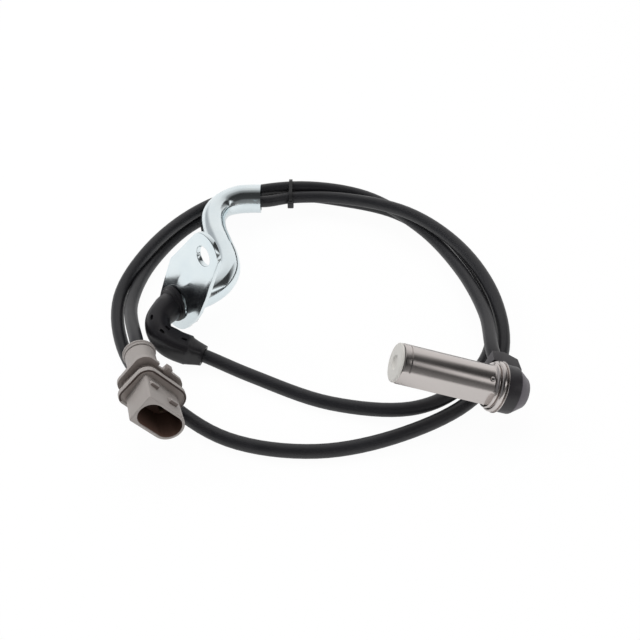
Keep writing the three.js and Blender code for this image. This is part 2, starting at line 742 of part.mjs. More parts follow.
for (const [x, z] of [[-7.5, -10.0], [1.4, -6.3]]) {
  const rampShape = new THREE.Shape();
  rampShape.moveTo(0, BODY_HALF_HEIGHT - 0.3);
  rampShape.lineTo(0, BODY_HALF_HEIGHT + 1.3);
  rampShape.lineTo(1.0, BODY_HALF_HEIGHT + 1.3);
  rampShape.lineTo(3.0, BODY_HALF_HEIGHT - 0.3);
  const ramp = extruded(rampShape, 3.0, -1.5, 2).rotateY(-Math.PI / 2).translate(x, 0, z - 1.5);
  housing = housing.add(toSolid(ramp));
}
addPart("connector_housing", toGeometry(housing).applyMatrix4(connectorFrame), 0x9c948f, 0.6, 0.0);

const retainerR = RETAINER_DIA / 2;
const retainerOutline = [
  [RETAINER_END_Z, CABLE_DIA / 2 + 0.6],
  [RETAINER_END_Z, retainerR - 0.4],
  [RETAINER_END_Z + 0.3, retainerR],
  [RETAINER_END_Z + 1.1, retainerR],
  [RETAINER_END_Z + 1.4, retainerR - 0.3],
  [NECK_END_Z - 0.25, retainerR - 0.4],
  [NECK_END_Z - 0.25, CABLE_DIA / 2 + 0.6],
];
const retainer = turned(retainerOutline, 32).rotateY(-Math.PI / 2).applyMatrix4(connectorFrame);
addPart("seal_retainer", retainer, 0x9c948f, 0.6, 0.0);

const sealR = SEAL_BORE / 2 - 0.25;
const sealHole = CABLE_DIA / 2 + CLEARANCE;
const wireSealOutline = [[NECK_END_Z, sealHole]];
for (let rib = 0; rib < 3; rib += 1) {
  const start = NECK_END_Z + 0.2 + rib * 2.6;
  wireSealOutline.push([start, sealR - 0.7], [start + 0.5, sealR], [start + 1.5, sealR], [start + 2.0, sealR - 0.7]);
}
wireSealOutline.push([NECK_END_Z + SEAL_LENGTH, sealR - 0.7], [NECK_END_Z + SEAL_LENGTH, sealHole]);
const wireSeal = turned(wireSealOutline, 24).rotateY(-Math.PI / 2).applyMatrix4(connectorFrame);
addPart("wire_seal", wireSeal, 0x7d3a2c, 0.65, 0.0);

[1, -1].forEach((side, i) => {
  const contactOutline = [
    [-MOUTH_DEPTH - 12.5, 0],
    [-MOUTH_DEPTH - 12.5, CONTACT_DIA / 2],
    [-8.6, CONTACT_DIA / 2],
    [-8.0, CONTACT_DIA / 2 - 0.45],
    [-8.0, 0],
  ];
  const contact = turned(contactOutline, 16)
    .rotateY(-Math.PI / 2)
    .translate((side * CONTACT_SPACING) / 2, 0, 0)
    .applyMatrix4(connectorFrame);
  addPart(`contact_pin_${i + 1}`, contact, 0xc9b27a, 0.3, 1.0);
});

export default group;
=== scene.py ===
import math
import bpy
from mathutils import Matrix, Vector


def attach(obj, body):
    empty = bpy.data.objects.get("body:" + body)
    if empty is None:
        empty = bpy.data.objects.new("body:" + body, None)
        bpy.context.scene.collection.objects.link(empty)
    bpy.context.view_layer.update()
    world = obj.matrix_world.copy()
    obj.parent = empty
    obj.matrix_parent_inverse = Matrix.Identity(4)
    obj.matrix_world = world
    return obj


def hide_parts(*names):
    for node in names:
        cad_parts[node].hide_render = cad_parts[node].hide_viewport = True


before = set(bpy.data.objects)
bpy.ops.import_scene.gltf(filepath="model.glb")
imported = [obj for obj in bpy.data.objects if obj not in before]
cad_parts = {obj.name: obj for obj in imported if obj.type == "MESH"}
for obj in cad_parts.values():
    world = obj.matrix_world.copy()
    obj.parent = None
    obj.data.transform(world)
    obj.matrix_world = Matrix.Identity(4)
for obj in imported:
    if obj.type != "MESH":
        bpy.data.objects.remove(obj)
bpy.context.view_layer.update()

# Everything is built in millimetres and scaled once
MM = 0.001

# The lead's route, from the sensor's head to the connector, as the solids have it
CABLE_DIA = 6.0
SHEATH_RADIUS = 2.88
SHEATH_SIDES = 32
STEPS_PER_POINT = 8
ROUTE = [
    (67.9, -52.1, 15.4), (66.6, -43.6, 15.7), (67.2, -14.9, 11.3), (59.5, 19.6, 8.7), (43.6, 51.1, 8.0),
    (18.6, 74.2, 9.3), (-13.2, 81.6, 10.9), (-44.1, 78.7, 9.8), (-64.3, 61.5, 9.3), (-83.7, 32.1, 9.2),
    (-93.9, 2.2, 5.2), (-86.7, -31.9, 3.2), (-67.5, -58.1, 3.1), (-39.9, -79.9, 3.1), (-5.3, -85.9, 3.1),
    (28.8, -77.0, 3.1), (58.2, -58.1, 3.3), (72.3, -36.4, 6.6), (73.0, -5.6, 10.7), (60.7, 27.4, 13.7),
    (38.0, 54.3, 13.9), (7.1, 70.9, 10.4), (-17.7, 74.3, 8.5), (-31.4, 69.0, 9.9), (-44.9, 66.7, 12.2),
    (-53.4, 59.3, 12.5), (-54.6, 45.1, 12.5), (-46.7, 18.9, 12.5), (-47.9, 4.9, 12.5), (-55.6, -4.0, 12.5),
    (-66.3, -9.2, 12.5), (-70.1, -15.1, 13.3), (-73.0, -21.4, 12.7), (-71.5, -27.8, 10.9), (-66.2, -31.5, 8.6),
    (-59.6, -33.4, 6.7), (-53.1, -34.4, 4.5), (-32.7, -45.3, 3.5), (0.3, -60.6, 3.1), (32.3, -65.1, 4.8),
    (51.1, -56.4, 5.9), (68.7, -29.0, 3.4), (70.0, 7.0, 3.1), (57.1, 41.0, 3.1), (34.2, 68.1, 3.1),
    (5.4, 79.3, 3.2), (-18.4, 80.7, 4.8), (-39.6, 76.1, 3.3), (-65.3, 60.2, 3.1), (-82.2, 31.5, 3.1),
    (-87.3, -4.1, 7.5), (-79.9, -37.1, 16.0), (-77.1, -45.6, 17.0), (-74.2, -54.5, 17.9),
]
# Two points of the outer turn settle against the guide tube
SETTLED = {6: (0, -1.2, -0.2), 7: (0, -2.9, -0.6)}
PLATE_POINT = 30
ELBOW_END_POINT = 36

# Probe and head, along the probe's own X axis, with zero at the collar
PROBE_AT = (64.97, -64.16, 16.54)
PROBE_HEADING = 181.5
PROBE_PITCH = -19.75
PROBE_SIDES = 160
PROBE_RADIUS = 8.0
PROBE_BORE = 6.1
FLAT_DISTANCE = 6.85
FLAT_START = 3.3
FLAT_TURN = math.radians(-10)
DIMPLE_ALONG = 5.3
DIMPLE_TURN = math.radians(60)
DIMPLE_FROM_AXIS = 8.6
DIMPLE_RADIUS = 1.3
BOSS_HALF_WIDTH = 5.5
RIM_ROOM = 10.75
OUTLET_AT = -2.4
OUTLET_PIVOT = 20
OUTLET_LEAN = math.radians(7.5)
OUTLET_RADIUS = 3.3

# Lug and guide tube
PLATE_AT = (-66.27, -9.22, 12.5)
PLATE_HEADING = 221.9
PLATE_RISE = 9.6
PLATE_HALF_THICK = 1.1
BOLT_HOLE_AT = (16.9, 33.4)
BOLT_HOLE_RADIUS = 4.35
TUBE_RADIUS = 6.0
TUBE_BORE_RADIUS = 4.8
TUBE_FLARE = 0.95
FLARE_WHOLE = 8
FLARE_FADE = 15
TUBE_STEPS = 9
TUBE_SIDES = 56
TUBE_HEIGHT = 12.5
TUBE_ROUTE = [
    (-33.0, 67.7), (-38.5, 67.7), (-44.3, 66.8), (-51.3, 62.3), (-54.9, 53.5), (-54.1, 42.3),
    (-50.5, 30.9), (-46.9, 19.8), (-46.1, 11.2), (-48.9, 2.9), (-55.4, -3.9), (-67.6, -9.9),
]
TUBE_STOP = -1.36
STEPS_FAR_FROM_LUG = 60
WELD_BORE = 6.22
WELD_STATIONS = [(-3.6, 6.35), (-3.0, 6.7), (-2.2, 7.1), (-1.4, 7.6), (-0.6, 8.0), (0.3, 8.1)]
WELD_RIPPLES = 9
WELD_RIPPLE = 0.12
WELD_SIDE = Vector((0.45, -0.89, 0))

# Elbow
ELBOW_START = 1.35
ELBOW_RADIUS = 5.5
ELBOW_ROOT = 6.2
ELBOW_BORE = 3.3
ELBOW_SIDES = 72
SQUARE_FROM = 3.0
TIP_FROM = 5.0
SLOT_LENGTH = 2.7
SLOT_WIDTH = 1.25
SLOT_REACH = 4.0
SLOT_ROUNDING = 0.49
SLOT_SINK = 1.2
# Slots round the elbow: step along it, and angles from its upper side
ELBOW_SLOTS = {18: (18,), 26: (-3, -36), 37: (-27,)}

# Tie
TIE_X = -18.6
TIE_HALF_WIDTH = 0.85
TIE_GAP = 0.25
TIE_THICK = 0.65
TIE_BLOCK = (1.5, 1.4, 1.7)
TIE_BLOCK_DROP = 1.2

# Connector, along its own Z axis, with zero at the mouth
CONNECTOR_AT = (-63.77, -86.76, 21.17)
CONNECTOR_HEADING = -72
CONNECTOR_RISE = 5.5
CONNECTOR_ROLL = -52.7
BODY_HALF_HEIGHT = 6.4
BODY_BACK = -15.0
MOUTH_HALF_HEIGHT = 5.2
MOUTH_END_AT = 4.7
MOUTH_FLOOR = -14.5
MOUTH_ROWS = 20
FLANGE_BACK = -15.4
FLANGE_FRONT = -13.3
CHANNEL_FLOOR = -13.65
CHANNEL_INSET = 1.1
# Corners of a flange as (x, y, radius): upper right, upper left, lower left, lower right
FLANGE_CORNERS = [(11.9, 9.9, 6.2), (-13.5, 10.0, 4.8), (-12.7, -8.8, 4.5), (11.7, -8.8, 6.0)]
REAR_CORNERS = [(10.3, 10.2, 4.8), (-14.2, 10.9, 4.6), (-12.9, -7.7, 4.6), (10.4, -8.2, 4.8)]
WAIST_CORNERS = [(9.4, 8.4, 3.5), (-11.0, 8.4, 3.5), (-11.0, -6.4, 3.5), (9.4, -6.4, 3.5)]
REAR_BACK = -21.5
REAR_FRONT = -19.8
RAMPS_AT = [(-7.9, -7.9), (1.3, -4.3)]
NECK_SHIFT = (-0.25, -0.35, 0)

# Painted light of single faces, as places on the tint ramp of their material: painted shade on the connector,
# a brown tint with painted shade in its mouth, and painted light on the head's cone and boss
PLAIN = 0.0
CHANNEL_PAINTED_SHADE = 0.1
REAR_PAINTED_SHADE = 0.2
RAMP_PAINTED_SHADE = 0.45
MOUTH_TINT_AND_PAINTED_SHADE = 0.56
BOSS_PAINTED_LIGHT = 0.3
CONE_PAINTED_LIGHT = 0.9

# Camera, from the photograph's perspective
camera = bpy.data.objects.new("camera", bpy.data.cameras.new("camera"))
bpy.context.scene.collection.objects.link(camera)
camera.location = (-0.0040, -0.3433, 0.3059)
camera.rotation_euler = (math.radians(47.7), 0, 0)
camera.data.lens = 57.4
camera.data.sensor_width = 36
camera.data.clip_start = 0.01
bpy.context.scene.camera = camera
bpy.context.scene.view_settings.view_transform = "Standard"


# Meshes
def new_object(name, points, faces, edges=()):
    mesh = bpy.data.meshes.new(name)
    mesh.from_pydata([tuple(p) for p in points], list(edges), faces)
    mesh.validate()
    obj = bpy.data.objects.new(name, mesh)
    bpy.context.scene.collection.objects.link(obj)
    return obj


def applied(obj):
    """Turns the piece with its modifiers into a plain mesh."""
    bpy.context.view_layer.update()
    graph = bpy.context.evaluated_depsgraph_get()
    mesh = bpy.data.meshes.new_from_object(obj.evaluated_get(graph))
    obj.modifiers.clear()
    rough = obj.data
    obj.data = mesh
    bpy.data.meshes.remove(rough)
    return obj


def combine(obj, other, how):
    """Adds or cuts another piece, which is used up."""
    tool = obj.modifiers.new("cut", "BOOLEAN")
    tool.operation = how
    tool.solver = "EXACT"
    tool.object = other
    applied(obj)
    bpy.data.objects.remove(other)


def bevelled(obj, width, segments, angle):
    edge = obj.modifiers.new("edge", "BEVEL")
    edge.width = width
    edge.segments = segments
    edge.limit_method = "ANGLE"
    edge.angle_limit = math.radians(angle)
    edge.harden_normals = False
    return applied(obj)


def joined(name, parts):
    points, faces = [], []
    for part in parts:
        base = len(points)
        points += [v.co.copy() for v in part.data.vertices]
        faces += [[base + i for i in p.vertices] for p in part.data.polygons]
        bpy.data.objects.remove(part)
    return new_object(name, points, faces)


def outward(obj):
    """Turns a closed piece's faces outwards."""
    volume = 0.0
    mesh = obj.data
    for face in mesh.polygons:
        first = mesh.vertices[face.vertices[0]].co
        for i in range(1, len(face.vertices) - 1):
            a = mesh.vertices[face.vertices[i]].co
            b = mesh.vertices[face.vertices[i + 1]].co
            volume += first.dot(a.cross(b))
    if volume < 0:
        mesh.flip_normals()
    return obj


def lathe(name, outline, sides, radial=None, turns=None):
    """Turns a closed outline of (along, radius) round the X axis. radial may change the radius."""
    turns = turns or [2 * math.pi * k / sides for k in range(sides)]
    count = len(turns)
    points, rings = [], []
    for along, radius in outline:
        on_axis = radius < 1e-6
        rings.append((len(points), on_axis))
        if on_axis:
            points.append((along, 0, 0))
            continue
        for turn in turns:
            r = radial(along, turn, radius) if radial else radius
            points.append((along, r * math.cos(turn), r * math.sin(turn)))
    faces = []
    for i, (first, first_on_axis) in enumerate(rings):
        then, then_on_axis = rings[(i + 1) % len(rings)]
        if first_on_axis and then_on_axis:
            continue
        for k in range(count):
            j = (k + 1) % count
            if first_on_axis:
                faces.append((first, then + k, then + j))
            elif then_on_axis:
                faces.append((first + k, then, first + j))
            else:
                faces.append((first + k, then + k, then + j, first + j))
    return outward(new_object(name, points, faces))


def prism(name, outline, low, high, rows=1):
    """A flat outline in X and Y, drawn from low to high in Z."""
    n = len(outline)
    points = [(x, y, low + (high - low) * row / rows) for row in range(rows + 1) for x, y in outline]
    faces = [tuple(range(n)), tuple(range(rows * n, (rows + 1) * n))[::-1]]
    faces += [(r * n + k, (r + 1) * n + k, (r + 1) * n + (k + 1) % n, r * n + (k + 1) % n)
              for r in range(rows) for k in range(n)]
    return outward(new_object(name, points, faces))


def arc(cx, cy, radius, start, end, steps):
    turns = [math.radians(start + (end - start) * k / steps) for k in range(steps + 1)]
    return [(cx + radius * math.cos(turn), cy + radius * math.sin(turn)) for turn in turns]


def rectangle(half_x, half_y):
    return [(-half_x, -half_y), (half_x, -half_y), (half_x, half_y), (-half_x, half_y)]


def across_path(centres, first=0):
    """From the first centre on: the centre, the way along, and two directions across that don't twist."""
    out, side = [], Vector((0, 0, 1))
    for i in range(first, len(centres)):
        along = (centres[min(i + 1, len(centres) - 1)] - centres[max(i - 1, 0)]).normalized()
        side = (side - along * side.dot(along)).normalized()
        out.append((centres[i], along, side, along.cross(side)))
    return out


def sweep(name, centres, radii, sides, bores, section=None):
    """A pipe along centres. section(i, turn) may scale the outer radius."""
    points, faces = [], []
    for i, (c, _, side, other) in enumerate(across_path(centres)):
        for radius, shape in ((radii[i], section), (bores[i], None)):
            for k in range(sides):
                turn = 2 * math.pi * k / sides
                r = radius * (shape(i, turn) if shape else 1.0)
                points.append(c + side * (r * math.cos(turn)) + other * (r * math.sin(turn)))
    row = 2 * sides
    last = (len(centres) - 1) * row
    for a in range(0, last, row):
        b = a + row
        for k in range(sides):
            n = (k + 1) % sides
            faces.append((a + k, a + n, b + n, b + k))
            faces.append((a + sides + n, a + sides + k, b + sides + k, b + sides + n))
    for k in range(sides):
        n = (k + 1) % sides
        faces.append((n, k, sides + k, sides + n))
        faces.append((last + k, last + n, last + sides + n, last + sides + k))
    return outward(new_object(name, points, faces))


def curve_points(points, per_span):
    """The same centripetal curve that the solids follow."""
    pts = [Vector(p) for p in points]
    pts = [pts[0] * 2 - pts[1]] + pts + [pts[-1] * 2 - pts[-2]]
    out = []
    for i in range(1, len(pts) - 2):
        p0, p1, p2, p3 = pts[i - 1:i + 3]
        t0, t1, t2 = (max((b - a).length, 1e-6) ** 0.5 for a, b in ((p0, p1), (p1, p2), (p2, p3)))
        m1 = ((p1 - p0) / t0 - (p2 - p0) / (t0 + t1) + (p2 - p1) / t1) * t1
        m2 = ((p2 - p1) / t1 - (p3 - p1) / (t1 + t2) + (p3 - p2) / t2) * t1
        for k in range(per_span):
            t = k / per_span
            out.append(p1 * (2 * t**3 - 3 * t**2 + 1) + m1 * (t**3 - 2 * t**2 + t)
                       + p2 * (3 * t**2 - 2 * t**3) + m2 * (t**3 - t**2))
    out.append(pts[-2].copy())
    return out


def facing(at, heading, rise, roll):
    """A place whose Z axis looks along heading and rise, in degrees, rolled about itself."""
    turn, lift, spin = (math.radians(a) for a in (heading, rise, roll))
    forward = Vector((math.cos(lift) * math.cos(turn), math.cos(lift) * math.sin(turn), math.sin(lift)))
    level = Vector((-forward.y, forward.x, 0)).normalized()
    up = forward.cross(level)
    x = level * math.cos(spin) + up * math.sin(spin)
    y = up * math.cos(spin) - level * math.sin(spin)
    place = Matrix((x, y, forward)).transposed().to_4x4()
    place.translation = Vector(at)
    return place


def paint_light_and_tint(obj, rule):
    """Gives every face the painted light and tint that rule(centre, normal) says, before the piece is placed.
    """
    painted_light_and_tint = obj.data.attributes.new("painted_light_and_tint", "FLOAT", "FACE")
    painted_light_and_tint.data.foreach_set("value", [rule(p.center, p.normal) for p in obj.data.polygons])
    return obj


def finished(obj, where, material, nodes, angle):
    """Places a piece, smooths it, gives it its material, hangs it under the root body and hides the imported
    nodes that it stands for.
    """
    if where is not None:
        obj.data.transform(where)
    obj.data.transform(Matrix.Scale(MM, 4))
    obj.data.polygons.foreach_set("use_smooth", [True] * len(obj.data.polygons))
    obj.data.set_sharp_from_angle(angle=math.radians(angle))
    obj.data.materials.clear()
    obj.data.materials.append(material)
    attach(obj, "root")
    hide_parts(*nodes)
    return obj


# Node trees
def add(tree, kind, inputs=None, **settings):
    """A node with its settings. inputs gives a socket its value, or the output that feeds it."""
    made = tree.nodes.new(kind)
    for setting, value in settings.items():
        setattr(made, setting, value)
    for socket, value in (inputs or {}).items():
        if isinstance(value, bpy.types.NodeSocket):
            tree.links.new(value, made.inputs[socket])
        else:
            made.inputs[socket].default_value = value
    return made


def mesh_tree(name, inputs):
    """A tree with named inputs and one mesh output."""
    tree = bpy.data.node_groups.new(name, "GeometryNodeTree")
    for label, kind in inputs.items():
        tree.interface.new_socket(label, in_out="INPUT", socket_type="NodeSocket" + kind)
    tree.interface.new_socket("Mesh", in_out="OUTPUT", socket_type="NodeSocketGeometry")
    return tree, tree.nodes.new("NodeGroupInput").outputs


def painted(tree, mesh, material):
    """Ends a tree: real mesh, then its material."""
    real = add(tree, "GeometryNodeRealizeInstances", {"Geometry": mesh})
    paint = add(tree, "GeometryNodeSetMaterial", {
        "Geometry": real.outputs["Geometry"], "Material": material})
    add(tree, "NodeGroupOutput", {"Mesh": paint.outputs["Geometry"]})
    return tree


def round_bar_tree():
    """A round bar that follows a line of edges."""
    tree, given = mesh_tree("round_bar", {
        "Line": "Geometry", "Radius": "Float", "Sides": "Int", "Material": "Material"})
    line = add(tree, "GeometryNodeMeshToCurve", {"Mesh": given["Line"]})
    ring = add(tree, "GeometryNodeCurvePrimitiveCircle",
               {"Radius": given["Radius"], "Resolution": given["Sides"]})
    bar = add(tree, "GeometryNodeCurveToMesh",
              {"Curve": line.outputs["Curve"], "Profile Curve": ring.outputs["Curve"], "Fill Caps": True})
    return painted(tree, bar.outputs["Mesh"], given["Material"])


def slot_row_tree():
    """Round-ended slot cutters, one at each point, turned by the point's own angles."""
    tree, given = mesh_tree("slot_row", {
        "Points": "Geometry", "Length": "Float", "Width": "Float", "Depth": "Float", "Material": "Material"})
    end_radius = add(tree, "ShaderNodeMath", {0: given["Width"], 1: SLOT_ROUNDING}, operation="MULTIPLY")
    outline = add(tree, "GeometryNodeCurvePrimitiveQuadrilateral",
                  {"Width": given["Length"], "Height": given["Width"]})
    rounded = add(tree, "GeometryNodeFilletCurve", mode="POLY", inputs={
        "Curve": outline.outputs["Curve"], "Radius": end_radius.outputs[0], "Count": 6})
    flat = add(tree, "GeometryNodeFillCurve", {"Curve": rounded.outputs["Curve"]})
    tall = add(tree, "GeometryNodeExtrudeMesh", {
        "Mesh": flat.outputs["Mesh"], "Offset Scale": given["Depth"], "Individual": False})
    under = add(tree, "GeometryNodeFlipFaces", {"Mesh": flat.outputs["Mesh"]})
    both = add(tree, "GeometryNodeJoinGeometry", {"Geometry": tall.outputs["Mesh"]})
    tree.links.new(under.outputs["Mesh"], both.inputs["Geometry"])
    closed = add(tree, "GeometryNodeMergeByDistance", {"Geometry": both.outputs["Geometry"]})
    turned = add(tree, "GeometryNodeInputNamedAttribute", {"Name": "turned"}, data_type="FLOAT_VECTOR")
    angles = add(tree, "FunctionNodeEulerToRotation", {"Euler": turned.outputs["Attribute"]})
    row = add(tree, "GeometryNodeInstanceOnPoints", {
        "Points": given["Points"], "Instance": closed.outputs["Geometry"],
        "Rotation": angles.outputs["Rotation"]})
    return painted(tree, row.outputs["Instances"], given["Material"])


def grown(name, points, edges, tree, values, turned=()):
    """The plain mesh that a tree makes from points or from a line."""
    obj = new_object(name, points, [], edges)
    if turned:
        turns = obj.data.attributes.new("turned", "FLOAT_VECTOR", "POINT")
        turns.data.foreach_set("vector", [a for turn in turned for a in turn])
    growth = obj.modifiers.new("nodes", "NODES")
    growth.node_group = tree
    for item in tree.interface.items_tree:
        if item.item_type == "SOCKET" and item.in_out == "INPUT" and item.name in values:
            growth[item.identifier] = values[item.name]
    return outward(applied(obj))


# Materials
def grain_group():
    """Fine moulded or drawn grain: a bump and a slow mottling, from object coordinates."""
    group = bpy.data.node_groups.new("grain", "ShaderNodeTree")
    for socket, kind in (("Scale", "Float"), ("Stretch", "Vector"), ("Depth", "Float")):
        group.interface.new_socket(socket, in_out="INPUT", socket_type="NodeSocket" + kind)
    group.interface.new_socket("Normal", in_out="OUTPUT", socket_type="NodeSocketVector")
    group.interface.new_socket("Mottle", in_out="OUTPUT", socket_type="NodeSocketFloat")
    given = group.nodes.new("NodeGroupInput").outputs
    place = group.nodes.new("ShaderNodeTexCoord").outputs["Object"]
    drawn = add(group, "ShaderNodeVectorMath", {0: place, 1: given["Stretch"]}, operation="MULTIPLY")
    fine = add(group, "ShaderNodeTexNoise", {
        "Vector": drawn.outputs[0], "Scale": given["Scale"], "Detail": 3})
    slow = add(group, "ShaderNodeTexNoise", {"Vector": place, "Scale": 90, "Detail": 4})
    bump = add(group, "ShaderNodeBump", {
        "Distance": 0.0001, "Strength": given["Depth"], "Height": fine.outputs["Fac"]})
    add(group, "NodeGroupOutput", {"Normal": bump.outputs["Normal"], "Mottle": slow.outputs["Fac"]})
    return group


GRAIN = grain_group()


def tinted(tree, colour, shades):
    """Multiplies a colour by the ramp's tint at the face's painted light and tint value."""
    painted_light_and_tint = add(tree, "ShaderNodeAttribute", attribute_name="painted_light_and_tint")
    ramp = add(tree, "ShaderNodeValToRGB", {"Fac": painted_light_and_tint.outputs["Fac"]})
    stops = ramp.color_ramp.elements
    stops.remove(stops[1])
    for i, (at, tint) in enumerate(shades):
        stop = stops.new(at) if i else stops[0]
        stop.position = at
        stop.color = (*tint, 1)
    tint = add(tree, "ShaderNodeMix", data_type="RGBA", blend_type="MULTIPLY", inputs={
        "Factor": 1.0, "A": colour, "B": ramp.outputs["Color"]})
    return tint.outputs["Result"]


def surface(name, dark, light, rough, metallic=0.0, scale=2500, depth=0.2, stretch=(1, 1, 1), drift=0.08,
            shades=None, specular=0.5):
    """A surface whose colour and gloss drift a little between two tones."""
    material = bpy.data.materials.new(name)
    material.use_nodes = True
    tree = material.node_tree
    shader = tree.nodes["Principled BSDF"]
    shader.inputs["Metallic"].default_value = metallic
    shader.inputs["Specular IOR Level"].default_value = specular
    grain = add(tree, "ShaderNodeGroup", node_tree=GRAIN)
    for socket, value in (("Scale", scale), ("Stretch", stretch), ("Depth", depth)):
        grain.inputs[socket].default_value = value
    mottle = grain.outputs["Mottle"]
    tone = add(tree, "ShaderNodeMix", data_type="RGBA", inputs={
        "Factor": mottle, "A": (*dark, 1), "B": (*light, 1)})
    gloss = add(tree, "ShaderNodeMapRange", {
        "Value": mottle, "From Min": 0.3, "From Max": 0.7,
        "To Min": rough - drift / 2, "To Max": rough + drift / 2})
    colour = tone.outputs["Result"]
    if shades:
        colour = tinted(tree, colour, shades)
    tree.links.new(colour, shader.inputs["Base Color"])
    tree.links.new(gloss.outputs["Result"], shader.inputs["Roughness"])
    tree.links.new(grain.outputs["Normal"], shader.inputs["Normal"])
    return material


STAINLESS = surface("stainless", (0.54, 0.505, 0.488), (0.6, 0.56, 0.543), 0.2, metallic=1.0,
                    scale=1400, depth=0.05, stretch=(0.12, 1, 1), drift=0.05)
CAP_PLASTIC = surface("cap_plastic", (0.46, 0.45, 0.42), (0.58, 0.565, 0.535), 0.38, depth=0.3)
# head_black's shades are painted light: the boss's outer faces and the cone are painted up to four times paler
# than the band
HEAD_BLACK = surface("head_black", (0.013, 0.012, 0.014), (0.02, 0.018, 0.021), 0.42, scale=1800, depth=0.3,
                     shades=[(0.0, (1, 1, 1)), (0.5, (2.2, 2.1, 2.2)), (1.0, (4.2, 3.9, 4.2))])
CABLE_SHEATH = surface("cable_sheath", (0.011, 0.011, 0.0125), (0.017, 0.017, 0.0195), 0.42,
                       scale=1500, depth=0.25, specular=0.4)
ZINC = surface("zinc_plate", (0.66, 0.75, 0.79), (0.84, 0.9, 0.91), 0.15, metallic=1.0,
               scale=700, depth=0.08, drift=0.1)
ELBOW_RUBBER = surface("elbow_rubber", (0.008, 0.0075, 0.009), (0.014, 0.013, 0.015), 0.36,
                       scale=1500, depth=0.3, specular=0.42)
TIE_NYLON = surface("tie_nylon", (0.012, 0.012, 0.013), (0.02, 0.02, 0.021), 0.4)
# connector_grey's shades: the darker grey stops are painted shade, and the brown stops are the mouth's brown
# tint with painted shade deepening inwards
CONNECTOR_GREY = surface(
    "connector_grey", (0.265, 0.242, 0.228), (0.32, 0.295, 0.28), 0.48, scale=1600, depth=0.4,
    shades=[(0.0, (1, 1, 1)), (0.1, (0.76, 0.72, 0.7)), (0.2, (0.58, 0.54, 0.52)), (0.5, (0.42, 0.37, 0.35)),
            (0.56, (0.75, 0.5, 0.42)), (0.78, (0.3, 0.19, 0.15)), (1.0, (0.1, 0.055, 0.04))])
SEAL_RED = surface("seal_red", (0.2, 0.05, 0.03), (0.28, 0.07, 0.045), 0.6)
TERMINAL_METAL = surface("contact_metal", (0.55, 0.47, 0.3), (0.66, 0.57, 0.38), 0.3, metallic=1.0)
# Painted shade: the connector's bronze contact pins are painted near black, for the shade deep in its mouth
PAINTED_SHADE_BRONZE = surface("painted_shade_bronze", (0.05, 0.036, 0.022), (0.08, 0.058, 0.035), 0.45, metallic=0.8)
SOFT_IRON = surface("soft_iron", (0.4, 0.4, 0.41), (0.5, 0.5, 0.51), 0.38, metallic=1.0)
COPPER = surface("enamelled_copper", (0.45, 0.16, 0.05), (0.6, 0.24, 0.09), 0.3, metallic=1.0)
BOBBIN_PLASTIC = surface("bobbin_plastic", (0.6, 0.55, 0.42), (0.7, 0.65, 0.5), 0.5)

# Pieces inside the sensor and the connector keep their solids
for node, material in {
    "pole_pin": SOFT_IRON, "magnet": SOFT_IRON, "coil_bobbin": BOBBIN_PLASTIC, "coil_winding": COPPER,
    "terminal_pin_1": TERMINAL_METAL, "terminal_pin_2": TERMINAL_METAL, "seal_ring": ELBOW_RUBBER,
    "wire_seal": SEAL_RED, "contact_pin_1": PAINTED_SHADE_BRONZE, "contact_pin_2": PAINTED_SHADE_BRONZE,
}.items():
    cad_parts[node].data.materials.clear()
    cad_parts[node].data.materials.append(material)

# Places of the three rigid groups
X_TO_Z = Matrix.Rotation(-math.pi / 2, 4, "Y")
SENSOR = (Matrix.Rotation(math.radians(PROBE_HEADING), 4, "Z")
          @ Matrix.Rotation(math.radians(PROBE_PITCH), 4, "Y"))
SENSOR.translation = Vector(PROBE_AT)
PLATE = facing(PLATE_AT, PLATE_HEADING, PLATE_RISE, 0)
CONNECTOR = facing(CONNECTOR_AT, CONNECTOR_HEADING, CONNECTOR_RISE, CONNECTOR_ROLL)


def above_plate(point):
    """How far a point lies in front of the lug's middle."""
    return PLATE.col[2].xyz.dot(point - PLATE.translation)


# Lead
def settled_route():
    route = [Vector(p) for p in ROUTE]
    for point, settle in SETTLED.items():
        route[point] += Vector(settle)
    return route


cable_line = curve_points(settled_route(), STEPS_PER_POINT)


def lead():
    links = [(i, i + 1) for i in range(len(cable_line) - 1)]
    obj = grown("lead", cable_line, links, round_bar_tree(),
                {"Radius": SHEATH_RADIUS, "Sides": SHEATH_SIDES, "Material": CABLE_SHEATH})
    return finished(obj, None, CABLE_SHEATH, ["cable"], 50)


# Sensor
def with_flat(along, turn, radius):
    """Presses the flat into the tube and into the foot of its collar."""
    if along < FLAT_START or radius <= FLAT_DISTANCE:
        return radius
    lean = math.cos(turn - FLAT_TURN)
    return min(radius, FLAT_DISTANCE / lean) if lean > 0.2 else radius


def dimple():
    turns = [math.pi * k / 14 for k in range(1, 14)]
    outline = [(-DIMPLE_RADIUS * math.cos(a), DIMPLE_RADIUS * math.sin(a)) for a in turns]
    ball = lathe("dimple", [(-DIMPLE_RADIUS, 0)] + outline + [(DIMPLE_RADIUS, 0)], 40)
    across = DIMPLE_FROM_AXIS * math.cos(DIMPLE_TURN)
    up = DIMPLE_FROM_AXIS * math.sin(DIMPLE_TURN)
    ball.data.transform(Matrix.Translation((DIMPLE_ALONG, across, up)))
    return ball


